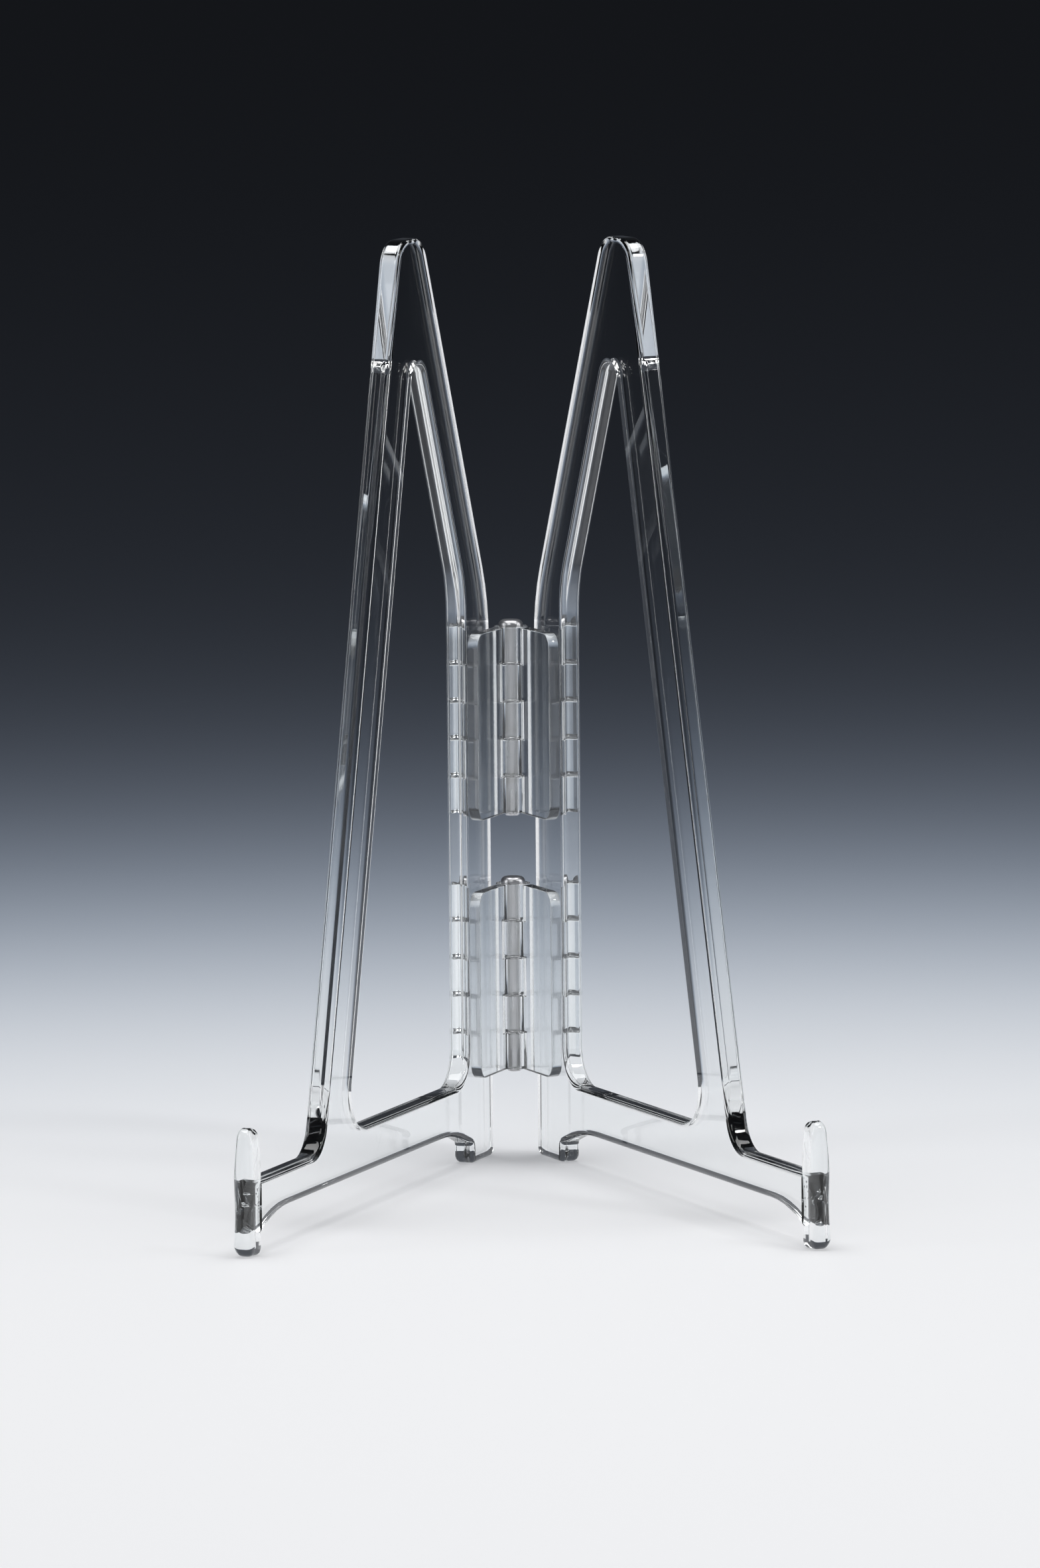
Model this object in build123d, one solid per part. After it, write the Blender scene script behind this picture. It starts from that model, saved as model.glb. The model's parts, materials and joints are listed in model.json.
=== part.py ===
"""Folding plate stand: two clear acrylic side frames with bonded prongs, on two small clear hinges.

Millimetres, +Z up. The prongs point to -Y, the hinges stand at +Y, and +X is the right hand side as
seen from the front. Every side piece is drawn in the closed position, where its plane is x = constant
and the hinge axis is the Z axis, and is then swung open about that axis.
"""

import os
from math import cos, radians, tan

from build123d import *

# Opening of the stand
HALF_OPENING = 22.0  # degrees that each side frame stands from the middle plane

# Side frame
SHEET = 3.0  # thickness of the acrylic sheet
REACH = 94.5  # from the front of a prong to the hinge axis, along the frame
HEIGHT = 130.0
EDGE_RADIUS = 0.8  # polished edge
SEAT_HEIGHT = 10.0  # floor of the notch that the plate's rim stands in
SEAT_LENGTH = 22.0
BACK_LEAN = 15.0  # degrees that the backrest leans from upright
BACK_WIDTH = 9.0
BEAM_BOTTOM = 5.1  # clearance under the bottom beam
BEAM_TOP = 11.5
BEAM_NOSE = 2.8  # underside of the beam where it meets the prong
FOOT_LENGTH = 8.5  # rear foot
FOOT_TOP = 2.8
ARCH_RUN = 5.75  # length of the slope from a prong or foot to the flat of the beam
POST_WIDTH = 10.0
POST_HEIGHT = 78.0
POST_GAP = 3.5  # from the hinge axis to the rear edge of the frame
STRUT_WIDTH = 8.0
NOSE_LENGTH = 9.0  # top of the frame, front to back

# Corner radii of the side frame
FOOT_RADIUS = 1.2
FOOT_INNER_RADIUS = 0.8
ARCH_RADIUS = 24.0
SEAT_INNER_RADIUS = 5.0
NOSE_RADIUS = 4.2
SHOULDER_RADIUS = 25.0
WINDOW_RADIUS = 5.0
WINDOW_NOSE_RADIUS = 2.5
WINDOW_SHOULDER_RADIUS = 16.0

# Prong
PRONG_HEIGHT = 17.0
PRONG_DEPTH = 3.8  # front to back, at the foot
PRONG_LEAN = 0.8  # how far the front of the tip stands behind the front of the foot
PRONG_TOE_RADIUS = 1.6
PRONG_TIP_RADIUS = 1.4
PRONG_BACK_RADIUS = 0.9
PRONG_EDGE = 0.8
# Half its width at each height: a slight waist above the foot, and a narrower tip
PRONG_SIDE = [(1.3, 0.0), (1.42, 1.6), (1.25, 5.2), (1.5, 11.2), (1.32, 14.5), (1.05, 17.0)]

# Hinges
LEAF_GAP = 0.2  # from the middle plane to the inner face of a leaf
LEAF = 1.5  # thickness of a leaf
LEAF_START = 2.8  # from the hinge axis to the plain part of a leaf
LEAF_END = 12.6
HINGE_HEIGHT = 26.0
HINGE_BOTTOMS = {"lower": 12.0, "upper": 48.0}
KNUCKLES = 5  # the left leaf has the odd ones, from the bottom
KNUCKLE_GAP = 0.25
KNUCKLE_RADIUS = 2.4
LEAF_CORNER = 2.0
SMALL_EDGE = 0.2
PIN_RADIUS = 1.0
RUNNING_CLEARANCE = 0.03
HEAD_RADIUS = 1.7
HEAD_HEIGHT = 0.9
PIN_TAIL = 0.5  # how far the pin stands out below the lowest knuckle

INNER_FACE = LEAF_GAP + LEAF  # from the middle plane to the inner face of a side frame
FROM_BOTTOM = (Align.CENTER, Align.CENTER, Align.MIN)


def frame_outline():
    """Outer outline of a side frame as (distance behind the prong's front, height) and corner radii."""
    rear = REACH - POST_GAP
    foot = rear - FOOT_LENGTH
    seat_end = PRONG_DEPTH + SEAT_LENGTH
    nose = seat_end + (HEIGHT - SEAT_HEIGHT) * tan(radians(BACK_LEAN))
    return [
        ((PRONG_DEPTH, BEAM_NOSE), 0),
        ((PRONG_DEPTH + ARCH_RUN, BEAM_BOTTOM), ARCH_RADIUS),
        ((foot - ARCH_RUN, BEAM_BOTTOM), ARCH_RADIUS),
        ((foot, FOOT_TOP), FOOT_INNER_RADIUS),
        ((foot, 0), FOOT_RADIUS),
        ((rear, 0), FOOT_RADIUS),
        ((rear, POST_HEIGHT), SHOULDER_RADIUS),
        ((nose + NOSE_LENGTH, HEIGHT), NOSE_RADIUS),
        ((nose, HEIGHT), NOSE_RADIUS),
        ((seat_end, SEAT_HEIGHT), SEAT_INNER_RADIUS),
        ((PRONG_DEPTH, SEAT_HEIGHT), 0),
    ]


def window_outline():
    """Outline of the window between backrest, beam, post and strut, with corner radii."""
    lean = tan(radians(BACK_LEAN))
    rear = REACH - POST_GAP
    post = rear - POST_WIDTH
    seat_end = PRONG_DEPTH + SEAT_LENGTH
    nose = seat_end + (HEIGHT - SEAT_HEIGHT) * lean + NOSE_LENGTH
    strut_lean = (rear - nose) / (HEIGHT - POST_HEIGHT)
    strut_foot = rear - STRUT_WIDTH * (1 + strut_lean**2) ** 0.5 + POST_HEIGHT * strut_lean
    back_foot = seat_end + BACK_WIDTH / cos(radians(BACK_LEAN)) - SEAT_HEIGHT * lean
    meet = (strut_foot - back_foot) / (lean + strut_lean)
    shoulder = (strut_foot - post) / strut_lean
    return [
        ((back_foot + BEAM_TOP * lean, BEAM_TOP), WINDOW_RADIUS),
        ((post, BEAM_TOP), WINDOW_RADIUS),
        ((post, shoulder), WINDOW_SHOULDER_RADIUS),
        ((back_foot + meet * lean, meet), WINDOW_NOSE_RADIUS),
    ]


def prong_outline():
    """Side view of a prong, with corner radii."""
    return [
        ((0, 0), PRONG_TOE_RADIUS),
        ((PRONG_DEPTH, 0), PRONG_BACK_RADIUS),
        ((PRONG_DEPTH, PRONG_HEIGHT), PRONG_TIP_RADIUS),
        ((PRONG_LEAN, PRONG_HEIGHT), PRONG_TIP_RADIUS),
    ]


def rounded_face(outline):
    """Face in the closed position's plane, x = 0, from an outline with corner radii."""
    points = [(distance - REACH, height) for (distance, height), _ in outline]
    radii = [radius for _, radius in outline]
    return Plane.YZ * make_face(Plane.XY * FilletPolyline(*points, radius=radii, close=True))


def side_frame():
    """Side frame in the closed position, on the +X side of the middle plane."""
    face = rounded_face(frame_outline()) - rounded_face(window_outline())
    plate = Pos(INNER_FACE, 0, 0) * extrude(face, SHEET, dir=(1, 0, 0))
    sides = plate.faces().sort_by(Axis.X)
    rims = sides[0].edges() + sides[-1].edges()
    front = rims.sort_by(Axis.Y)[:2]  # they stay sharp, where the prong is bonded on
    return fillet([edge for edge in rims if edge not in front], EDGE_RADIUS)


def prong():
    """Prong in the closed position, in front of the side frame's beam."""
    side = extrude(rounded_face(prong_outline()), SHEET, dir=(1, 0, 0))
    waist = [(SHEET / 2 + half, height) for half, height in PRONG_SIDE]
    far = Spline(*waist)
    near = Spline(*[(SHEET - across, height) for across, height in waist])
    ends = [Line(near @ end, far @ end) for end in (0, 1)]
    front = Plane.XZ * make_face([far, near, *ends])
    shaped = side & (Pos(0, -REACH, 0) * extrude(front, PRONG_DEPTH, dir=(0, 1, 0)))
    bonded = shaped.faces().sort_by(Axis.Y)[-1].edges()
    rounded = fillet([edge for edge in shaped.edges() if edge not in bonded], PRONG_EDGE)
    return Pos(INNER_FACE, 0, 0) * rounded


def knuckle_bottoms():
    """Height of the bottom of each knuckle above the bottom of its hinge, and the knuckle's length."""
    length = (HINGE_HEIGHT - (KNUCKLES - 1) * KNUCKLE_GAP) / KNUCKLES
    return [i * (length + KNUCKLE_GAP) for i in range(KNUCKLES)], length


def hinge_leaf(bottom, first, bore):
    """Leaf on the +X side in the closed position; it has every other knuckle from the one numbered first."""
    plate = Pos(LEAF_GAP, -LEAF_END, bottom) * Box(LEAF, LEAF_END - LEAF_START, HINGE_HEIGHT, align=Align.MIN)
    leaf = fillet(plate.edges().filter_by(Axis.X).group_by(Axis.Y)[0], LEAF_CORNER)
    starts, length = knuckle_bottoms()
    for start in starts[first::2]:
        base = bottom + start
        barrel = Pos(0, 0, base) * Cylinder(KNUCKLE_RADIUS, length, align=FROM_BOTTOM)
        web = Pos(LEAF_GAP, -LEAF_START, base) * Box(LEAF, LEAF_START, length, align=Align.MIN)
        leaf += chamfer(barrel.edges(), SMALL_EDGE) + web
    return leaf - Pos(0, 0, bottom) * Cylinder(bore, HINGE_HEIGHT, align=FROM_BOTTOM)


def hinge_pin(bottom):
    """Straight pin with a domed head on top and a chamfered tail."""
    shank = Pos(0, 0, bottom - PIN_TAIL) * Cylinder(PIN_RADIUS, HINGE_HEIGHT + PIN_TAIL, align=FROM_BOTTOM)
    shank = chamfer(shank.edges().sort_by(Axis.Z)[0], SMALL_EDGE)
    head = Pos(0, 0, bottom + HINGE_HEIGHT) * Cylinder(HEAD_RADIUS, HEAD_HEIGHT, align=FROM_BOTTOM)
    return shank + fillet(head.edges().sort_by(Axis.Z)[-1], HEAD_HEIGHT * 0.8)


def open_right(piece):
    """Swing a piece from the closed position to the right side's place."""
    return Rot(0, 0, HALF_OPENING) * piece


def open_left(piece):
    """Mirror a piece to the left side and swing it to its place."""
    return mirror(open_right(piece), about=Plane.YZ)


def build_nodes():
    """Every piece by node name, about the hinge axis."""
    nodes = {}
    for name, piece in {"side_frame": side_frame(), "prong": prong()}.items():
        nodes[f"left_{name}"] = open_left(piece)
        nodes[f"right_{name}"] = open_right(piece)
    for name, bottom in HINGE_BOTTOMS.items():
        nodes[f"{name}_hinge_left_leaf"] = open_left(hinge_leaf(bottom, 0, PIN_RADIUS))
        nodes[f"{name}_hinge_right_leaf"] = open_right(hinge_leaf(bottom, 1, PIN_RADIUS + RUNNING_CLEARANCE))
        nodes[f"{name}_hinge_pin"] = hinge_pin(bottom)
    return nodes


def main():
    """Write each piece with the origin at the centre of the footprint."""
    nodes = build_nodes()
    box = Compound(children=[Compound(node.solids()) for node in nodes.values()]).bounding_box()
    hinge_axis = -(box.min.Y + box.max.Y) / 2
    os.makedirs("parts", exist_ok=True)
    for name, node in nodes.items():
        export_step(Pos(0, hinge_axis, -box.min.Z) * node, f"parts/{name}.step")
    print("hinge axis at y =", round(hinge_axis, 4), "overall", box.size)


main()
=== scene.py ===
"""Looks of a folding plate stand: clear acrylic side frames and prongs, clear hinge leaves, steel pins.

Every side piece is modelled as the closed stand has it, about the hinge axis, and is then swung to its
side: x runs across the sheet, -y forwards from the hinge axis, and z up. Sizes are in metres.
"""

import json
import math
import random

import bmesh
import bpy
from bpy.props import FloatProperty, FloatVectorProperty, IntProperty, PointerProperty
from mathutils import Matrix, Vector


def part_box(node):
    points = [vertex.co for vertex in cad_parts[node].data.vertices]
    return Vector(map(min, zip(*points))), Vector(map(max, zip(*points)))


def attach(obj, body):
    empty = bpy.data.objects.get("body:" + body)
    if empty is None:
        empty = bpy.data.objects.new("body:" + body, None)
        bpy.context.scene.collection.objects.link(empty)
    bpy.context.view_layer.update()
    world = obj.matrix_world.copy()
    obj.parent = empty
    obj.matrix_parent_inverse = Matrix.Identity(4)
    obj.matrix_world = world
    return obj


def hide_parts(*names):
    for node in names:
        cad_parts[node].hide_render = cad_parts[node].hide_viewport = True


bl_info = {
    "name": "Folding plate stand",
    "version": (1, 0, 0),
    "blender": (4, 5, 0),
    "location": "3D View > Sidebar > Plate stand",
    "description": "Models a folding plate stand of clear acrylic on its packed frame, with its stage",
    "category": "Add Mesh",
}

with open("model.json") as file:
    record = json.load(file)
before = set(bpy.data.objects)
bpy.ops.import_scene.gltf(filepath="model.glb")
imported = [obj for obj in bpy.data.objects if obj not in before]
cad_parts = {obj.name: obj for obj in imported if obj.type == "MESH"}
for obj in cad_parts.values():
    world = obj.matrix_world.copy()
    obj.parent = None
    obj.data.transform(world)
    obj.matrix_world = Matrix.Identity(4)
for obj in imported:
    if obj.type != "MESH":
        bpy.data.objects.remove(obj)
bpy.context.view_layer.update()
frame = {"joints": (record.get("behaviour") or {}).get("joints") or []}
FOLD = frame["joints"][0]
HINGE_AXIS = Vector((FOLD["pos_m"][0], FOLD["pos_m"][1], 0))
HALF_OPENING = math.radians(-FOLD["range_deg"][0] / 2)
STAND_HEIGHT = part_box("right_side_frame")[1].z
PRONG_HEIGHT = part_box("right_prong")[1].z

SIDES = ("left", "right")
HINGES = ("lower", "upper")
MM = 0.001
NEAR = 0.01 * MM  # places closer than this count as one place
PAST = 1 * MM  # how far a cutter stands out of what it cuts
BOND = 0.04 * MM  # how far bonded clear pieces run into each other, so that no air shows between them


# ---------------------------------------------------------------- settings


def length(name, description, default):
    return FloatProperty(name=name, description=description, default=default, min=0, subtype="DISTANCE",
                         unit="LENGTH", precision=5)


def angle(name, description, degrees):
    return FloatProperty(name=name, description=description, default=math.radians(degrees), subtype="ANGLE",
                         unit="ROTATION")


def share(name, description, default):
    return FloatProperty(name=name, description=description, default=default, min=0, max=1, subtype="FACTOR")


def colour(name, description, default):
    return FloatVectorProperty(name=name, description=description, default=default, size=3, min=0, max=1,
                               subtype="COLOR")


class FrameSizes(bpy.types.PropertyGroup):
    """Sizes of a side frame"""

    sheet: length("Sheet", "Thickness of the acrylic sheet", 3.0 * MM)
    edge: length("Edge radius", "Rounding of the polished edges", 0.8 * MM)
    reach: length("Reach", "From the front of a prong to the hinge axis", 94.5 * MM)
    seat_height: length("Seat height", "Floor of the notch for the plate's rim", 10.0 * MM)
    seat_length: length("Seat length", "Length of the notch, front to back", 22.0 * MM)
    seat_radius: length("Seat radius", "Corner between the notch and the backrest", 5.0 * MM)
    back_lean: angle("Backrest lean", "Lean of the backrest from upright", 15)
    back_width: length("Backrest width", "Width of the backrest bar", 9.0 * MM)
    beam_bottom: length("Beam bottom", "Clearance under the bottom beam", 5.1 * MM)
    beam_top: length("Beam top", "Top of the bottom beam under the window", 11.5 * MM)
    beam_nose: length("Beam nose", "Underside of the beam where it meets the prong", 2.8 * MM)
    arch_run: length("Arch run", "Length of the slope from a foot to the flat of the beam", 5.75 * MM)
    arch_radius: length("Arch radius", "Corners under the beam", 24.0 * MM)
    foot_length: length("Foot length", "Length of the rear foot", 8.5 * MM)
    foot_radius: length("Foot radius", "Lower corners of the rear foot", 1.2 * MM)
    foot_inner_radius: length("Foot inner radius", "Corner where the rear foot leaves the beam", 0.8 * MM)
    post_width: length("Post width", "Width of the rear post", 10.0 * MM)
    post_height: length("Post height", "Height of the straight rear edge", 78.0 * MM)
    post_gap: length("Post gap", "From the hinge axis to the rear edge", 3.5 * MM)
    shoulder_radius: length("Shoulder radius", "Bend of the rear edge at the top of the post", 25.0 * MM)
    strut_width: length("Strut width", "Width of the bar from the post to the top", 8.0 * MM)
    nose_length: length("Nose length", "Length of the top, front to back", 9.0 * MM)
    nose_radius: length("Nose radius", "Corners of the top", 4.2 * MM)
    window_radius: length("Window radius", "Lower corners of the window", 5.0 * MM)
    window_shoulder_radius: length("Window shoulder radius", "Bend at the window's rear", 16.0 * MM)
    window_nose_radius: length("Window nose radius", "Top corner of the window", 2.5 * MM)


class ProngSizes(bpy.types.PropertyGroup):
    """Sizes of a prong"""

    depth: length("Depth", "Front to back, at the foot", 3.8 * MM)
    lean: length("Lean", "How far the front of the tip stands behind the front of the foot", 0.8 * MM)
    toe_radius: length("Toe radius", "Lower front corner, from the side", 1.6 * MM)
    tip_radius: length("Tip radius", "Upper corners, from the side", 1.4 * MM)
    back_radius: length("Back radius", "Lower back corner, from the side", 0.9 * MM)
    edge: length("Edge radius", "Rounding of the front edges", 1.15 * MM)
    back_edge: length("Back edge radius", "Rounding of the edges at the bond", 0.3 * MM)
    bubbles: IntProperty(name="Bubbles", description="Bubbles left in each bond line", default=11, min=0)
    bubble: length("Bubble radius", "Radius of the largest bubbles", 0.17 * MM)


class HingeSizes(bpy.types.PropertyGroup):
    """Sizes of a hinge"""

    leaf: length("Leaf", "Thickness of a leaf", 1.5 * MM)
    leaf_gap: length("Leaf gap", "From the middle plane to the inner face of a leaf", 0.2 * MM)
    leaf_start: length("Leaf start", "From the axis to the plain part of a leaf", 2.8 * MM)
    leaf_end: length("Leaf end", "From the axis to the far edge of a leaf", 12.6 * MM)
    leaf_corner: length("Leaf corner", "Radius of a leaf's far corners", 2.0 * MM)
    leaf_edge: length("Leaf edge", "Rounding of a leaf's small edges", 0.12 * MM)
    knuckle: length("Knuckle radius", "Outer radius of a knuckle", 2.395 * MM)
    knuckle_gap: length("Knuckle gap", "Space between two knuckles", 0.25 * MM)
    knuckles: IntProperty(name="Knuckles", description="Knuckles of a hinge", default=5, min=3)
    bore: length("Bore radius", "Radius of the hole for the pin", 1.03 * MM)
    pin: length("Pin radius", "Radius of the pin", 1.0 * MM)
    tail_edge: length("Tail edge", "Rounding of the pin's tail", 0.2 * MM)
    head: length("Head radius", "Radius of the pin's head", 1.7 * MM)
    head_height: length("Head height", "Height of the pin's head", 0.9 * MM)
    head_dome: share("Head dome", "How much of the head's height is rounded", 0.8)


class Finishes(bpy.types.PropertyGroup):
    """Colours and surface quality"""

    sheet_tint: colour("Sheet tint", "Colour of the clear sheet", (0.975, 0.985, 0.985))
    hinge_tint: colour("Hinge tint", "Colour of the moulded hinge plastic", (0.97, 0.98, 0.985))
    hinge_haze: colour("Hinge haze", "Colour of the plastic where it is hazy", (0.93, 0.95, 0.955))
    steel: colour("Steel", "Colour of the hinge pins", (0.62, 0.62, 0.64))
    stained_steel: colour("Stained steel", "Colour of the pins where they are dull", (0.5, 0.49, 0.48))
    polish: share("Sheet roughness", "Roughness of the clean sheet", 0.012)
    handling: share("Handling", "How much wiping and handling show", 0.10)


class StageSettings(bpy.types.PropertyGroup):
    """Floor, light and camera"""

    azimuth: angle("Azimuth", "Camera's angle about the stand", -1.5)
    elevation: angle("Elevation", "Camera's angle above the floor", 7)
    roll: angle("Roll", "Camera's turn about its own axis", -0.5)
    distance: length("Distance", "From the camera to the stand", 1.4)
    framed: length("Framed height", "Height of the picture at the stand", 0.212)
    aim: length("Aim height", "Height of the point in the middle of the picture", 0.057)
    # The floor's colour is a painted pool of light: pale round the stand, and painted dark and bluish far
    # from it, where the studio light falls off
    pale: colour("Pale floor", "Colour of the floor round the stand", (0.9, 0.9, 0.91))
    far: colour("Far floor", "Colour of the floor far from the stand", (0.011, 0.014, 0.021))
    painted_light_centre: length("Bright centre", "From the stand forwards to the middle of the pale floor", 0.35)
    painted_light_radius: length("Bright radius", "From that middle to where the floor is half dark", 0.6)
    room: colour("Room light", "Colour of the dim light from all round", (0.05, 0.055, 0.065))


class StandSettings(bpy.types.PropertyGroup):
    """All that a user would change"""

    frames: PointerProperty(type=FrameSizes)
    prongs: PointerProperty(type=ProngSizes)
    hinges: PointerProperty(type=HingeSizes)
    finishes: PointerProperty(type=Finishes)
    stage: PointerProperty(type=StageSettings)


def settings():
    return bpy.context.scene.plate_stand


# ---------------------------------------------------------------- modelling


def select_only(piece):
    bpy.ops.object.select_all(action="DESELECT")
    piece.select_set(True)
    bpy.context.view_layer.objects.active = piece


def open_edit(piece, mode="EDGE"):
    select_only(piece)
    bpy.ops.object.mode_set(mode="EDIT")
    bpy.ops.mesh.select_mode(type=mode)


def close_edit():
    bpy.ops.object.mode_set(mode="OBJECT")


def pick(kind, test):
    """In edit mode, select only the verts, edges or faces that pass a test, and say how many do."""
    mesh = bpy.context.object.data
    shape = bmesh.from_edit_mesh(mesh)
    for group in (shape.verts, shape.edges, shape.faces):
        for element in group:
            element.select = False
    found = [element for element in getattr(shape, kind) if test(element)]
    for element in found:
        element.select_set(True)
    bmesh.update_edit_mesh(mesh)
    return len(found)


def middle(edge):
    return (edge.verts[0].co + edge.verts[1].co) / 2


def sharper(edge, degrees):
    return len(edge.link_faces) == 2 and edge.calc_face_angle() > math.radians(degrees)


def arc_points(before, corner, after, radius, step):
    """The points that round one corner of an outline, or the corner itself if its radius is 0."""
    if radius == 0:
        return [corner]
    to_before = (before - corner).normalized()
    to_after = (after - corner).normalized()
    half = to_before.angle(to_after) / 2
    centre = corner + (to_before + to_after).normalized() * radius / math.sin(half)
    start = corner + to_before * radius / math.tan(half) - centre
    end = corner + to_after * radius / math.tan(half) - centre
    count = max(2, round(math.degrees(math.pi - 2 * half) / step))
    turn = start.angle_signed(end)
    return [centre + Matrix.Rotation(-turn * i / count, 2) @ start for i in range(count + 1)]


def rounded(outline, step=6):
    """Points of a closed outline of corners and their radii, with a point each few degrees of an arc."""
    corners = [Vector(point) for point, _ in outline]
    points = []
    for i, (_, radius) in enumerate(outline):
        points += arc_points(corners[i - 1], corners[i], corners[(i + 1) % len(corners)], radius, step)
    return points


def slab(name, points, low, high):
    """A closed slab: a polygon in the closed stand's plane, between two distances from the middle plane."""
    bpy.ops.object.select_all(action="DESELECT")
    bpy.ops.mesh.primitive_circle_add(vertices=len(points), radius=1, fill_type="NGON")
    piece = bpy.context.object
    piece.name = piece.data.name = name
    for vertex, (y, z) in zip(piece.data.vertices, points):
        vertex.co = (low, y, z)
    open_edit(piece, "FACE")
    bpy.ops.mesh.select_all(action="SELECT")
    bpy.ops.mesh.extrude_region_move(TRANSFORM_OT_translate={"value": (high - low, 0, 0)})
    bpy.ops.mesh.select_all(action="SELECT")
    bpy.ops.mesh.normals_make_consistent(inside=False)
    close_edit()
    return piece


def upright(name, points, low, high):
    """A closed prism: a polygon seen from above, between two heights."""
    piece = slab(name, points, low, high)
    stood_up = Matrix(((0, 1, 0, 0), (0, 0, 1, 0), (1, 0, 0, 0), (0, 0, 0, 1)))
    piece.data.transform(stood_up)
    return piece


def slice_at(place, normal):
    """In edit mode, cut the whole piece along a plane, and keep both parts."""
    bpy.ops.mesh.select_all(action="SELECT")
    bpy.ops.mesh.bisect(plane_co=place, plane_no=normal)


def cut(piece, cutter):
    """Take a cutter's shape out of a piece, and remove the cutter."""
    select_only(piece)
    change = piece.modifiers.new("cut", "BOOLEAN")
    change.operation = "DIFFERENCE"
    change.solver = "EXACT"
    change.object = cutter
    bpy.ops.object.modifier_apply(modifier=change.name)
    bpy.data.objects.remove(cutter)


def bevel(piece, test, width, segments):
    """Round the edges that pass a test."""
    open_edit(piece)
    if pick("edges", test) == 0:
        raise RuntimeError(f"{piece.name} has no edge to round")
    bpy.ops.mesh.bevel(offset=width, offset_type="OFFSET", segments=segments, profile=0.5, affect="EDGES",
                       clamp_overlap=False)
    close_edit()


def twin(piece, name):
    copy = piece.copy()
    copy.data = piece.data.copy()
    copy.name = copy.data.name = name
    bpy.context.scene.collection.objects.link(copy)
    return copy


def side_matrix(side):
    """Takes a piece of the closed stand to its side's place; the left side is the right one mirrored."""
    right = Matrix.Translation(HINGE_AXIS) @ Matrix.Rotation(HALF_OPENING, 4, "Z")
    return right if side == "right" else Matrix.Scale(-1, 4, (1, 0, 0)) @ right


def raised(height):
    return Matrix.Translation((0, 0, height))


def placed(piece, matrix, flat_faces=True):
    """Move a piece's mesh, turning its faces outwards again if it is mirrored, and shade it."""
    piece.data.transform(matrix)
    if matrix.is_negative:
        piece.data.flip_normals()
    select_only(piece)
    bpy.ops.object.shade_smooth_by_angle(angle=math.radians(35))
    if flat_faces:
        flat = piece.modifiers.new("flat faces stay flat", "WEIGHTED_NORMAL")
        flat.keep_sharp = True
        flat.weight = 100  # the largest faces decide alone
        bpy.ops.object.modifier_apply(modifier=flat.name)
    return piece


# ---------------------------------------------------------------- outlines


def inner_face():
    """Distance of a side frame's inner face from the middle plane of the closed stand."""
    return settings().hinges.leaf_gap + settings().hinges.leaf


def behind_axis(outline):
    """An outline whose distances are measured from the hinge axis, and no longer from the prong's front."""
    reach = settings().frames.reach
    return [((distance - reach, height), radius) for (distance, height), radius in outline]


def frame_outline():
    """Outer outline of a side frame: the places and radii of its corners, from the beam's front."""
    f = settings().frames
    start = settings().prongs.depth - BOND
    rear = f.reach - f.post_gap
    foot = rear - f.foot_length
    seat_end = settings().prongs.depth + f.seat_length
    nose = seat_end + (STAND_HEIGHT - f.seat_height) * math.tan(f.back_lean)
    return behind_axis([
        ((start, f.beam_nose), 0),
        ((start + f.arch_run, f.beam_bottom), f.arch_radius),
        ((foot - f.arch_run, f.beam_bottom), f.arch_radius),
        ((foot, f.beam_nose), f.foot_inner_radius),
        ((foot, 0), f.foot_radius),
        ((rear, 0), f.foot_radius),
        ((rear, f.post_height), f.shoulder_radius),
        ((nose + f.nose_length, STAND_HEIGHT), f.nose_radius),
        ((nose, STAND_HEIGHT), f.nose_radius),
        ((seat_end, f.seat_height), f.seat_radius),
        ((start, f.seat_height), 0),
    ])


def window_outline():
    """Outline of the window between backrest, beam, post and strut."""
    f = settings().frames
    lean = math.tan(f.back_lean)
    rear = f.reach - f.post_gap
    post = rear - f.post_width
    seat_end = settings().prongs.depth + f.seat_length
    nose = seat_end + (STAND_HEIGHT - f.seat_height) * lean + f.nose_length
    strut_lean = (rear - nose) / (STAND_HEIGHT - f.post_height)
    strut_foot = rear - f.strut_width * math.hypot(1, strut_lean) + f.post_height * strut_lean
    back_foot = seat_end + f.back_width / math.cos(f.back_lean) - f.seat_height * lean
    meet = (strut_foot - back_foot) / (lean + strut_lean)
    return behind_axis([
        ((back_foot + f.beam_top * lean, f.beam_top), f.window_radius),
        ((post, f.beam_top), f.window_radius),
        ((post, (strut_foot - post) / strut_lean), f.window_shoulder_radius),
        ((back_foot + meet * lean, meet), f.window_nose_radius),
    ])


def prong_outline():
    """Side view of a prong."""
    p = settings().prongs
    return behind_axis([
        ((0, 0), p.toe_radius),
        ((p.depth, 0), p.back_radius),
        ((p.depth, PRONG_HEIGHT), p.tip_radius),
        ((p.lean, PRONG_HEIGHT), p.tip_radius),
    ])


# Height and half width of a prong in millimetres: a waist above the foot and a narrower tip
PRONG_SIDE = [(0.0, 1.3), (1.6, 1.42), (5.2, 1.25), (11.2, 1.5), (14.5, 1.32), (17.0, 1.05)]


def prong_half_width(height):
    """Half the width of a prong at a height, on a smooth curve through the places of PRONG_SIDE."""
    z = height / MM
    last = len(PRONG_SIDE) - 1
    i = max(k for k in range(last) if k == 0 or PRONG_SIDE[k][0] <= z)
    (z0, w0), (z1, w1) = PRONG_SIDE[i], PRONG_SIDE[i + 1]
    before, after = PRONG_SIDE[max(i - 1, 0)], PRONG_SIDE[min(i + 2, last)]
    t = min(max((z - z0) / (z1 - z0), 0), 1)
    in_slope = (w1 - before[1]) / (z1 - before[0]) * (z1 - z0)
    out_slope = (after[1] - w0) / (after[0] - z0) * (z1 - z0)
    blend = (2 * t**3 - 3 * t**2 + 1) * w0 + (t**3 - 2 * t**2 + t) * in_slope
    return (blend + (3 * t**2 - 2 * t**3) * w1 + (t**3 - t**2) * out_slope) * MM


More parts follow.
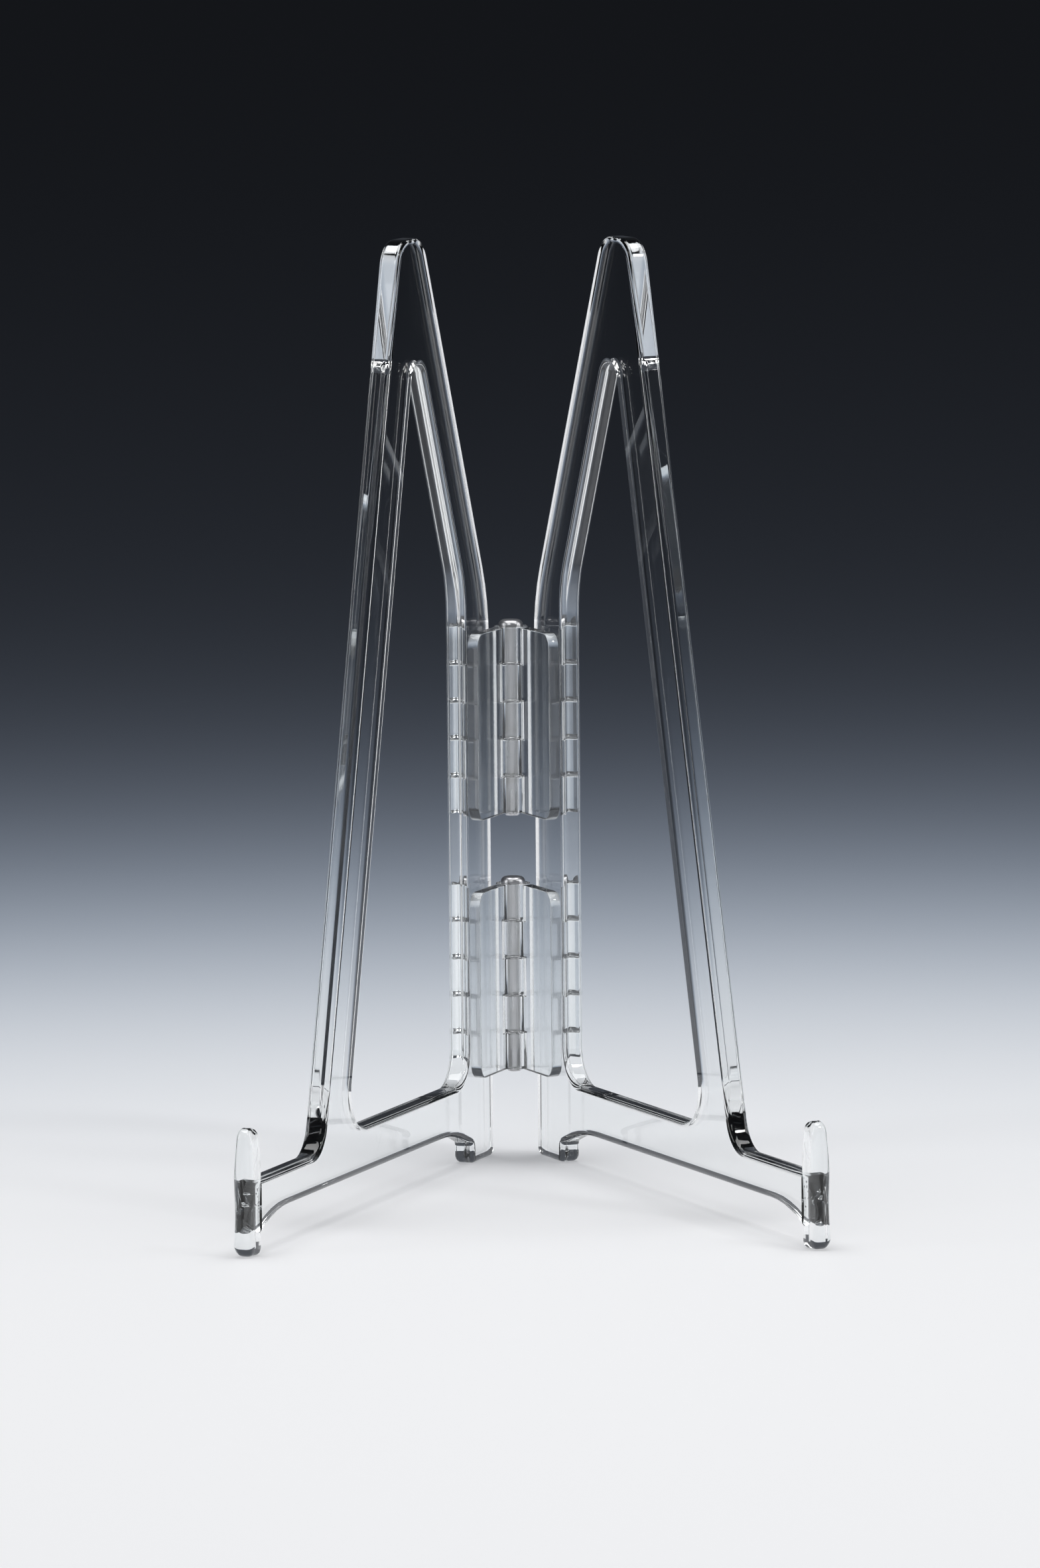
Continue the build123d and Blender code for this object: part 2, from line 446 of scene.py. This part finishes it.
def inwards(outline, place):
    """The direction into a counter-clockwise outline from a point on it."""
    total = Vector((0, 0))
    for start, end in zip(outline, (*outline[1:], outline[0])):
        along = end - start
        near = start + along * min(max((place - start).dot(along) / along.length_squared, 0), 1)
        if (place - near).length < NEAR / 10:
            total += Vector((-along.y, along.x)).normalized()
    return total.normalized()


def leaf_outline():
    """A leaf with its knuckle, seen from above."""
    h = settings().hinges
    outer = inner_face() + BOND
    first = math.asin(h.leaf_gap / h.knuckle)
    last = math.asin(outer / h.knuckle) - 2 * math.pi
    steps = 60
    round_part = [first + (last - first) * i / steps for i in range(steps + 1)]
    barrel = [(h.knuckle * math.sin(turn), -h.knuckle * math.cos(turn)) for turn in round_part]
    return [(h.leaf_gap, -h.leaf_end), *barrel, (outer, -h.leaf_end)]


def knuckle_spans(height):
    """Bottom and top of each knuckle of a hinge, from the hinge's bottom."""
    h = settings().hinges
    tall = (height - (h.knuckles - 1) * h.knuckle_gap) / h.knuckles
    starts = [i * (tall + h.knuckle_gap) for i in range(h.knuckles)]
    return [(start, start + tall) for start in starts]


# ---------------------------------------------------------------- pieces


class STAND_OT_side_frames(bpy.types.Operator):
    """Cut both side frames from sheet, open their windows and polish their edges"""

    bl_idname = "plate_stand.side_frames"
    bl_label = "Side frames"

    def execute(self, context):
        plate = self.plate()
        for side in SIDES:
            piece = placed(twin(plate, f"{side}_frame_sheet"), side_matrix(side))
            piece.data.materials.append(clear_sheet(side))
            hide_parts(f"{side}_side_frame")
            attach(piece, f"{side}_side")
        bpy.data.objects.remove(plate)
        return {"FINISHED"}

    def plate(self):
        """A side frame of the closed stand; the edges where the prong is bonded on stay sharp."""
        f = settings().frames
        low = inner_face()
        high = low + f.sheet
        plate = slab("side_frame", rounded(frame_outline()), low, high)
        cut(plate, slab("window", rounded(window_outline()), low - f.sheet, high + f.sheet))
        front = settings().prongs.depth - BOND - f.reach

        def rim(edge):
            a, b = (vertex.co for vertex in edge.verts)
            return sharper(edge, 60) and abs(a.x - b.x) < NEAR and max(a.y, b.y) > front + NEAR

        bevel(plate, rim, f.edge, segments=7)
        return plate


class STAND_OT_prongs(bpy.types.Operator):
    """Model both prongs, with their waist, rounded edges and the bubbles in the bond line"""

    bl_idname = "plate_stand.prongs"
    bl_label = "Prongs"

    def execute(self, context):
        low = inner_face()
        high = low + settings().frames.sheet
        centre = (low + high) / 2
        outline = rounded(prong_outline(), step=5)
        prong = slab("prong", outline, low, high)
        self.slice(prong, low, high)
        self.round_edges(prong, outline, centre)
        for seed, side in enumerate(SIDES, start=4):
            bar = twin(prong, f"{side}_prong_bar")
            self.bubbles(bar, centre, seed)
            piece = placed(bar, side_matrix(side), flat_faces=False)
            piece.data.materials.append(clear_sheet(side))
            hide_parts(f"{side}_prong")
            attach(piece, f"{side}_side")
        bpy.data.objects.remove(prong)
        return {"FINISHED"}

    def slice(self, prong, low, high):
        """Cut the straight part into level rows, and both sides into strips for their rounding."""
        row = 0.5 * MM
        first_row = 4
        last_row = round(PRONG_HEIGHT / row) - 3
        open_edit(prong, "FACE")
        for number in range(first_row, last_row + 1):
            slice_at((0, 0, number * row), (0, 0, 1))
        strips = [settings().prongs.edge * (1 - math.cos(math.radians(turn))) for turn in range(9, 91, 9)]
        for across in (*(low + depth for depth in strips), *(high - depth for depth in strips)):
            slice_at((across, 0, 0), (1, 0, 0))
        close_edit()

    def round_edges(self, prong, outline, centre):
        """Draw the outline in towards the sides, less at the back, and narrow the prong at its waist."""
        p = settings().prongs
        half_sheet = settings().frames.sheet / 2
        back = p.depth - settings().frames.reach
        for vertex in prong.data.vertices:
            place = vertex.co.yz
            ahead = min(max((back - place.x) / (2 * p.back_radius), 0), 1)
            radius = p.back_edge + (p.edge - p.back_edge) * ahead
            from_side = half_sheet - abs(vertex.co.x - centre)
            if from_side < radius:
                inset = radius - math.sqrt(radius**2 - (radius - from_side) ** 2)
                place += inwards(outline, place) * inset
            narrow = prong_half_width(vertex.co.z) / half_sheet
            vertex.co = (centre + (vertex.co.x - centre) * narrow, *place)

    def bubbles(self, bar, centre, seed):
        """Leave small bubbles in the bar just before the bond; their faces look into the air they hold."""
        p, f = settings().prongs, settings().frames
        bond = p.depth - f.reach - BOND
        lowest = f.beam_nose + 0.4 * MM
        highest = f.seat_height - 0.6 * MM
        chance = random.Random(seed)
        bpy.ops.object.select_all(action="DESELECT")
        bpy.ops.mesh.primitive_ico_sphere_add(subdivisions=2, radius=1)
        ball = bpy.context.object
        ball.data.flip_normals()
        for _ in range(p.bubbles):
            radius = p.bubble * chance.uniform(0.35, 1)
            across = centre + chance.uniform(-0.8, 0.8) * MM
            height = chance.uniform(lowest, highest)
            tall = radius * chance.uniform(1, 1.6)
            place = Matrix.Translation((across, bond - 1.3 * radius, height))
            bubble = twin(ball, "bubble")
            bubble.data.transform(place @ Matrix.Diagonal((radius, radius, tall, 1)))
            select_only(bar)
            bubble.select_set(True)
            bpy.ops.object.join()
        bpy.data.objects.remove(ball)


class STAND_OT_hinge_leaves(bpy.types.Operator):
    """Model the four hinge leaves with their knuckles"""

    bl_idname = "plate_stand.hinge_leaves"
    bl_label = "Hinge leaves"

    def execute(self, context):
        bottom, top = (corner.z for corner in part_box("lower_hinge_left_leaf"))
        for first, side in enumerate(SIDES):
            model = self.leaf(top - bottom, first)
            for hinge in HINGES:
                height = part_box(f"{hinge}_hinge_{side}_leaf")[0].z
                leaf = placed(twin(model, f"{hinge}_hinge_{side}_plate"), raised(height) @ side_matrix(side))
                leaf.data.materials.append(clear_hinge(side))
                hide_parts(f"{hinge}_hinge_{side}_leaf")
                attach(leaf, f"{side}_side")
            bpy.data.objects.remove(model)
        return {"FINISHED"}

    def leaf(self, height, first):
        """A leaf, with its bottom at 0, that has every other knuckle from the one numbered first."""
        h = settings().hinges
        leaf = upright("leaf", leaf_outline(), 0, height)

        def far_corner(edge):
            a, b = (vertex.co for vertex in edge.verts)
            return max(a.y, b.y) < -h.leaf_end + NEAR and abs(a.z - b.z) < NEAR

        bevel(leaf, far_corner, h.leaf_corner, segments=10)
        bpy.ops.object.select_all(action="DESELECT")
        bpy.ops.mesh.primitive_cylinder_add(vertices=48, radius=h.bore, depth=2 * height,
                                            location=(0, 0, height / 2))
        cut(leaf, bpy.context.object)
        reach = h.knuckle + PAST
        corners = [(-reach, -h.leaf_start), (reach, -h.leaf_start), (reach, reach), (-reach, reach)]
        others = [span for i, span in enumerate(knuckle_spans(height)) if i % 2 != first]
        for low, high in others:
            start = -PAST if low < NEAR else low - h.knuckle_gap
            end = height + PAST if high > height - NEAR else high + h.knuckle_gap
            cut(leaf, upright("notch", corners, start, end))
        bevel(leaf, lambda edge: sharper(edge, 40), h.leaf_edge, segments=3)
        return leaf


class STAND_OT_hinge_pins(bpy.types.Operator):
    """Turn the two hinge pins"""

    bl_idname = "plate_stand.hinge_pins"
    bl_label = "Hinge pins"

    def execute(self, context):
        tail, top = (corner.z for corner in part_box("lower_hinge_pin"))
        model = self.pin(top - tail)
        for hinge in HINGES:
            tail, top = (corner.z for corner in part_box(f"{hinge}_hinge_pin"))
            place = raised(tail) @ Matrix.Translation(HINGE_AXIS)
            pin = placed(twin(model, f"{hinge}_hinge_pin_wire"), place)
            pin.data.materials.append(drawn_steel(hinge, top))
            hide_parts(f"{hinge}_hinge_pin")
            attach(pin, "left_side")
        bpy.data.objects.remove(model)
        return {"FINISHED"}

    def pin(self, height):
        """A pin with the end of its tail at 0: a straight shank, a domed head and a softened tail."""
        h = settings().hinges
        shoulder = height - h.head_height
        bpy.ops.object.select_all(action="DESELECT")
        bpy.ops.mesh.primitive_cylinder_add(vertices=48, radius=h.pin, depth=shoulder,
                                            location=(0, 0, shoulder / 2))
        pin = bpy.context.object
        bpy.ops.object.transform_apply(location=True)
        open_edit(pin, "FACE")
        pick("faces", lambda face: face.normal.z > 0.9)
        bpy.ops.mesh.extrude_region_move(TRANSFORM_OT_translate={"value": (0, 0, 0)})
        wider = h.head / h.pin
        bpy.ops.transform.resize(value=(wider, wider, 1))
        bpy.ops.mesh.extrude_region_move(TRANSFORM_OT_translate={"value": (0, 0, h.head_height)})
        close_edit()
        bevel(pin, lambda edge: middle(edge).z > height - NEAR, h.head_dome * h.head_height, segments=8)
        bevel(pin, lambda edge: middle(edge).z < NEAR, h.tail_edge, segments=3)
        return pin


# ---------------------------------------------------------------- materials


class Wire:
    """A shader socket that Python sums work on; each sum adds its Math node."""

    def __init__(self, shader, socket):
        self.shader = shader
        self.socket = socket

    def math(self, operation, *others):
        return self.shader.math(operation, self, *others)

    def __add__(self, other):
        return self.math("ADD", other)

    def __sub__(self, other):
        return self.math("SUBTRACT", other)

    def __rsub__(self, other):
        return self.shader.math("SUBTRACT", other, self)

    def __mul__(self, other):
        return self.math("MULTIPLY", other)

    def __truediv__(self, other):
        return self.math("DIVIDE", other)

    def __rtruediv__(self, other):
        return self.shader.math("DIVIDE", other, self)

    def __pow__(self, other):
        return self.math("POWER", other)

    def __abs__(self):
        return self.math("ABSOLUTE")

    __radd__ = __add__
    __rmul__ = __mul__

    def ramp(self, start, end):
        """0 below start, 1 above end, and smooth between; start may be above end."""
        rising = start < end
        node = self.shader.add("ShaderNodeMapRange", {"interpolation_type": "SMOOTHSTEP"}, {
            "Value": self, "From Min": min(start, end), "From Max": max(start, end),
            "To Min": 0.0 if rising else 1.0, "To Max": 1.0 if rising else 0.0})
        return node("Result")

    def between(self, low, high, soft):
        """1 between two values, 0 outside them, with soft ends."""
        return self.ramp(low - soft, low) * self.ramp(high + soft, high)


class Shader:
    """A material under construction. Calling add gives a function from a socket's name to its Wire."""

    def __init__(self, name):
        self.material = bpy.data.materials.new(name)
        self.material.use_nodes = True
        self.tree = self.material.node_tree
        self.tree.nodes.clear()
        self.output = self.tree.nodes.new("ShaderNodeOutputMaterial")

    def add(self, kind, choices=None, sockets=None):
        node = self.tree.nodes.new(kind)
        for name, value in (choices or {}).items():
            setattr(node, name, value)
        for name, value in (sockets or {}).items():
            if isinstance(value, Wire):
                self.tree.links.new(value.socket, node.inputs[name])
            else:
                node.inputs[name].default_value = value
        return lambda output: Wire(self, node.outputs[output])

    def math(self, operation, *values):
        return self.add("ShaderNodeMath", {"operation": operation}, dict(enumerate(values)))("Value")

    def vector_math(self, operation, *values, output="Vector"):
        node = self.add("ShaderNodeVectorMath", {"operation": operation}, dict(enumerate(values)))
        return node(output)

    def combine(self, *parts):
        return self.add("ShaderNodeCombineXYZ", {}, dict(enumerate(parts)))("Vector")

    def split(self, vector):
        """A function from X, Y or Z to that part of a vector."""
        return self.add("ShaderNodeSeparateXYZ", {}, {0: vector})

    def blend(self, factor, first, second):
        """A colour that is the first where the factor is 0, and the second where it is 1."""
        factor_socket, first_socket, second_socket, result_socket = 0, 6, 7, 2
        return self.add("ShaderNodeMix", {"data_type": "RGBA"}, {
            factor_socket: factor, first_socket: (*first, 1), second_socket: (*second, 1)})(result_socket)

    def mix(self, factor, first, second):
        """The first shader where the factor is 0, and the second where it is 1."""
        return self.add("ShaderNodeMixShader", {}, {0: factor, 1: first, 2: second})("Shader")

    def noise(self, place, scale, detail=2, stretch=(1, 1, 1), rough=0.5):
        """Noise from 0 to 1 on a position, with a scale in features per metre."""
        return self.add("ShaderNodeTexNoise", {}, {
            "Vector": self.vector_math("MULTIPLY", place, stretch), "Scale": scale, "Detail": detail,
            "Roughness": rough})("Fac")

    def bump(self, height, depth):
        """A normal from a height of 0 to 1."""
        sockets = {"Height": height, "Distance": depth, "Strength": 1.0}
        return self.add("ShaderNodeBump", {}, sockets)("Normal")

    def finish(self, surface):
        self.tree.links.new(surface.socket, self.output.inputs["Surface"])
        return self.material


def side_places(shader, side):
    """Position in the closed stand, and how much a surface faces across the sheet."""
    turned = side_matrix(side).to_3x3()
    axes = [turned @ Vector(axis) for axis in ((1, 0, 0), (0, 1, 0), (0, 0, 1))]
    coordinates = shader.add("ShaderNodeTexCoord")
    away = shader.vector_math("SUBTRACT", coordinates("Object"), HINGE_AXIS)
    closed = shader.combine(*[shader.vector_math("DOT_PRODUCT", away, axis, output="Value") for axis in axes])
    facing = abs(shader.vector_math("DOT_PRODUCT", coordinates("Normal"), axes[0], output="Value"))
    return closed, facing


def clear_surface(shader, colour, roughness, normal, ior):
    """Clear plastic that lets lamps through, less where they graze it: a pale shadow with dark rims."""
    plastic = shader.add("ShaderNodeBsdfPrincipled", {}, {
        "Base Color": colour, "Roughness": roughness, "Normal": normal, "Transmission Weight": 1.0,
        "IOR": ior})("BSDF")
    nothing = shader.add("ShaderNodeBsdfTransparent", {}, {"Color": (1, 1, 1, 1)})("BSDF")
    path = shader.add("ShaderNodeLightPath")
    graze = shader.add("ShaderNodeLayerWeight", {}, {"Blend": 0.5})("Facing")
    stopped = 0.07 + 0.8 * graze**2  # a little of a lamp's light face on, and nearly all at the rims
    to_lamps = shader.mix(stopped, nothing, plastic)
    to_others = shader.mix(path("Is Diffuse Ray"), plastic, nothing)
    return shader.finish(shader.mix(path("Is Shadow Ray"), to_others, to_lamps))


def hairlines(shader, closed, scale, stretch, width):
    """Fine curved scratches: where a broad noise passes its middle value."""
    return abs(shader.noise(closed, scale, detail=1, stretch=stretch) - 0.5).ramp(*width)


def clear_sheet(side):
    """Clear acrylic sheet: wiped faces, faintly rippled edges, worn feet and a scuffed seat."""
    name = f"clear_sheet_{side}"
    if name in bpy.data.materials:
        return bpy.data.materials[name]
    looks = settings().finishes
    f = settings().frames
    shader = Shader(name)
    closed, facing = side_places(shader, side)
    along, height = (shader.split(closed)(axis) for axis in "YZ")
    edge = facing.ramp(0.97, 0.8)

    wiped = shader.noise(closed, scale=60, detail=3).ramp(0.52, 0.72)
    smudge = wiped * shader.noise(closed, scale=900, rough=0.7)
    long_hairs = hairlines(shader, closed, 45, (1, 1.4, 0.5), (0.0035, 0.0008))
    short_hairs = hairlines(shader, closed, 70, (1, 0.6, 1.3), (0.003, 0.0005))
    handled = smudge * 0.8 + long_hairs * 0.9 + short_hairs * 0.6

    grit = shader.noise(closed, scale=1400)
    seat_front = settings().prongs.depth - f.reach
    seat_level = height.between(f.seat_height - 1.2 * MM, f.seat_height + 0.3 * MM, 0.4 * MM)
    seat_run = along.between(seat_front + 0.5 * MM, seat_front + f.seat_length - 3 * MM, 3 * MM)
    scuffed = seat_level * seat_run * edge * grit.ramp(0.42, 0.62)
    worn = height.ramp(0.45 * MM, 0.1 * MM) * grit.ramp(0.3, 0.6)

    ripple = shader.noise(closed, scale=1500, detail=3, stretch=(0.06, 1, 1), rough=0.6)
    wave = shader.noise(closed, scale=260, stretch=(0.3, 1, 1))
    edge_colour = [part * kept for part, kept in zip(looks.sheet_tint, (0.955, 0.975, 0.98))]
    return clear_surface(
        shader,
        colour=shader.blend(edge * 0.6 + smudge * 0.2, looks.sheet_tint, edge_colour),
        roughness=looks.polish + looks.handling * handled + 0.16 * scuffed + 0.25 * worn,
        normal=shader.bump((ripple * 0.12 + wave) * edge, 0.008 * MM),
        ior=1.49)


def clear_hinge(side):
    """Moulded clear plastic: a little hazier, with flow lines along the leaf."""
    name = f"clear_hinge_{side}"
    if name in bpy.data.materials:
        return bpy.data.materials[name]
    looks = settings().finishes
    shader = Shader(name)
    closed, _ = side_places(shader, side)
    flow = shader.noise(closed, scale=420, detail=3, stretch=(1, 0.25, 1))
    haze = shader.noise(closed, scale=180, detail=3)
    return clear_surface(
        shader,
        colour=shader.blend(haze, looks.hinge_tint, looks.hinge_haze),
        roughness=0.03 + 0.07 * haze.ramp(0.4, 0.7) + 0.03 * flow,
        normal=shader.bump(flow, 0.006 * MM),
        ior=1.5)


def drawn_steel(hinge, top):
    """Drawn stainless wire with turning marks on its head, whose top is at a height above the floor."""
    looks = settings().finishes
    shader = Shader(f"drawn_steel_{hinge}")
    place = shader.add("ShaderNodeTexCoord")("Object")
    away = shader.vector_math("SUBTRACT", place, HINGE_AXIS)
    part = shader.split(away)
    radius = (part("X") ** 2 + part("Y") ** 2) ** 0.5
    on_head = part("Z").ramp(top - 1.0 * MM, top - 0.85 * MM)
    drawn = shader.noise(away, scale=2600, stretch=(1, 1, 0.04))
    turned = shader.noise(shader.combine(radius), scale=9000)
    marks = drawn * (1 - on_head) + turned * on_head
    stain = shader.noise(away, scale=300, detail=3)
    metal = shader.add("ShaderNodeBsdfPrincipled", {}, {
        "Base Color": shader.blend(stain.ramp(0.45, 0.75) * 0.6, looks.steel, looks.stained_steel),
        "Metallic": 1.0, "Roughness": 0.17 + 0.2 * marks + 0.08 * stain,
        "Normal": shader.bump(marks, 0.004 * MM)})("BSDF")
    return shader.finish(metal)


def floor_paint():
    """Pale matt floor with a painted pool of light round the stand: its colour is painted darker away from
    the stand, with blue the last colour to go, as painted light falloff.
    """
    stage = settings().stage
    shader = Shader("floor_paint")
    place = shader.add("ShaderNodeTexCoord")("Object")
    away = shader.vector_math("DISTANCE", place, (0, -stage.painted_light_centre, 0), output="Value")
    # Each colour channel's share of the painted light, fading with distance from the middle of the painted
    # pool; blue reaches a little further
    steepness = 7
    reaches = [stage.painted_light_radius * part for part in (0.975, 1, 1.035)]
    kept = shader.combine(*[1 / (1 + (away / reach) ** steepness) for reach in reaches])
    added = Vector(stage.pale) - Vector(stage.far)
    paint = shader.add("ShaderNodeBsdfPrincipled", {}, {
        "Base Color": shader.vector_math("MULTIPLY_ADD", kept, added, stage.far), "Roughness": 0.6,
        "Specular IOR Level": 0.25})("BSDF")
    return shader.finish(paint)


# ---------------------------------------------------------------- stage


# Name, place, width and height, and watts of each lamp
LAMPS = [
    ("top_softbox", (0, 0.1, 1.5), (1.3, 1.0), 18.5),
    ("left_softbox", (-1.25, -0.35, 0.55), (0.45, 1.1), 4.5),
    ("right_softbox", (1.25, -0.1, 0.5), (0.35, 1.1), 4),
    ("front_softbox", (-0.45, -1.5, 1.15), (0.7, 0.5), 3.2),
    ("key_lamp", (0.75, -0.45, 1.0), (0.16, 0.16), 2.2),
]


class STAND_OT_stage(bpy.types.Operator):
    """Add the floor, the soft lights and the camera"""

    bl_idname = "plate_stand.stage"
    bl_label = "Stage"

    def execute(self, context):
        self.floor()
        for name, place, size, power in LAMPS:
            self.softbox(name, place, size, power)
        self.camera(context.scene)
        self.surroundings(context.scene)
        return {"FINISHED"}

    def floor(self):
        """A wide round floor, a hair below the feet."""
        bpy.ops.object.select_all(action="DESELECT")
        bpy.ops.mesh.primitive_circle_add(vertices=96, radius=9, fill_type="NGON",
                                          location=(0, 0, -0.05 * MM))
        floor = bpy.context.object
        floor.name = "floor"
        bpy.ops.object.transform_apply(location=True)
        floor.data.materials.append(floor_paint())

    def softbox(self, name, place, size, power):
        """A rectangular lamp that faces the stand; the camera doesn't see it."""
        bpy.ops.object.select_all(action="DESELECT")
        bpy.ops.object.light_add(type="AREA", location=place)
        lamp = bpy.context.object
        lamp.name = name
        lamp.data.shape = "RECTANGLE"
        lamp.data.size, lamp.data.size_y = size
        lamp.data.energy = power
        target = Vector((0, 0, STAND_HEIGHT / 2))
        lamp.rotation_euler = (target - Vector(place)).to_track_quat("-Z", "Y").to_euler()
        lamp.visible_camera = False

    def camera(self, scene):
        stage = settings().stage
        bpy.ops.object.select_all(action="DESELECT")
        bpy.ops.object.camera_add()
        camera = bpy.context.object
        camera.name = "camera"
        level = math.cos(stage.elevation)
        back = Vector((math.sin(stage.azimuth) * level, -math.cos(stage.azimuth) * level,
                       math.sin(stage.elevation)))
        camera.location = Vector((0, 0, stage.aim)) + back * stage.distance
        turn = (-back).to_track_quat("-Z", "Y").to_matrix() @ Matrix.Rotation(stage.roll, 3, "Z")
        camera.rotation_euler = turn.to_euler()
        camera.data.sensor_width = 36
        camera.data.lens = camera.data.sensor_width * stage.distance / stage.framed
        camera.data.clip_start = 0.01
        camera.data.clip_end = 50
        scene.camera = camera

    def surroundings(self, scene):
        """Dim light from all round, and colours shown as they are."""
        world = bpy.data.worlds.new("dim studio")
        world.use_nodes = True
        background = world.node_tree.nodes["Background"]
        background.inputs["Color"].default_value = (*settings().stage.room, 1)
        background.inputs["Strength"].default_value = 1.0
        scene.world = world
        scene.view_settings.view_transform = "Standard"


# ---------------------------------------------------------------- panel and run


class STAND_PT_sidebar(bpy.types.Panel):
    """Folding plate stand"""

    bl_label = "Plate stand"
    bl_idname = "STAND_PT_sidebar"
    bl_space_type = "VIEW_3D"
    bl_region_type = "UI"
    bl_category = "Plate stand"

    def draw(self, context):
        stand = settings()
        for group in (stand.frames, stand.prongs, stand.hinges, stand.finishes, stand.stage):
            box = self.layout.box()
            box.label(text=type(group).__doc__)
            for name in type(group).__annotations__:
                box.prop(group, name)
        for operator in OPERATORS:
            self.layout.operator(operator.bl_idname)


GROUPS = (FrameSizes, ProngSizes, HingeSizes, Finishes, StageSettings, StandSettings)
OPERATORS = (STAND_OT_side_frames, STAND_OT_prongs, STAND_OT_hinge_leaves, STAND_OT_hinge_pins,
             STAND_OT_stage)


def register():
    for item in (*GROUPS, *OPERATORS, STAND_PT_sidebar):
        bpy.utils.register_class(item)
    bpy.types.Scene.plate_stand = PointerProperty(type=StandSettings)


def unregister():
    del bpy.types.Scene.plate_stand
    for item in reversed((*GROUPS, *OPERATORS, STAND_PT_sidebar)):
        bpy.utils.unregister_class(item)


def main():
    register()
    bpy.ops.plate_stand.side_frames()
    bpy.ops.plate_stand.prongs()
    bpy.ops.plate_stand.hinge_leaves()
    bpy.ops.plate_stand.hinge_pins()
    bpy.ops.plate_stand.stage()


if __name__ == "__main__":
    main()
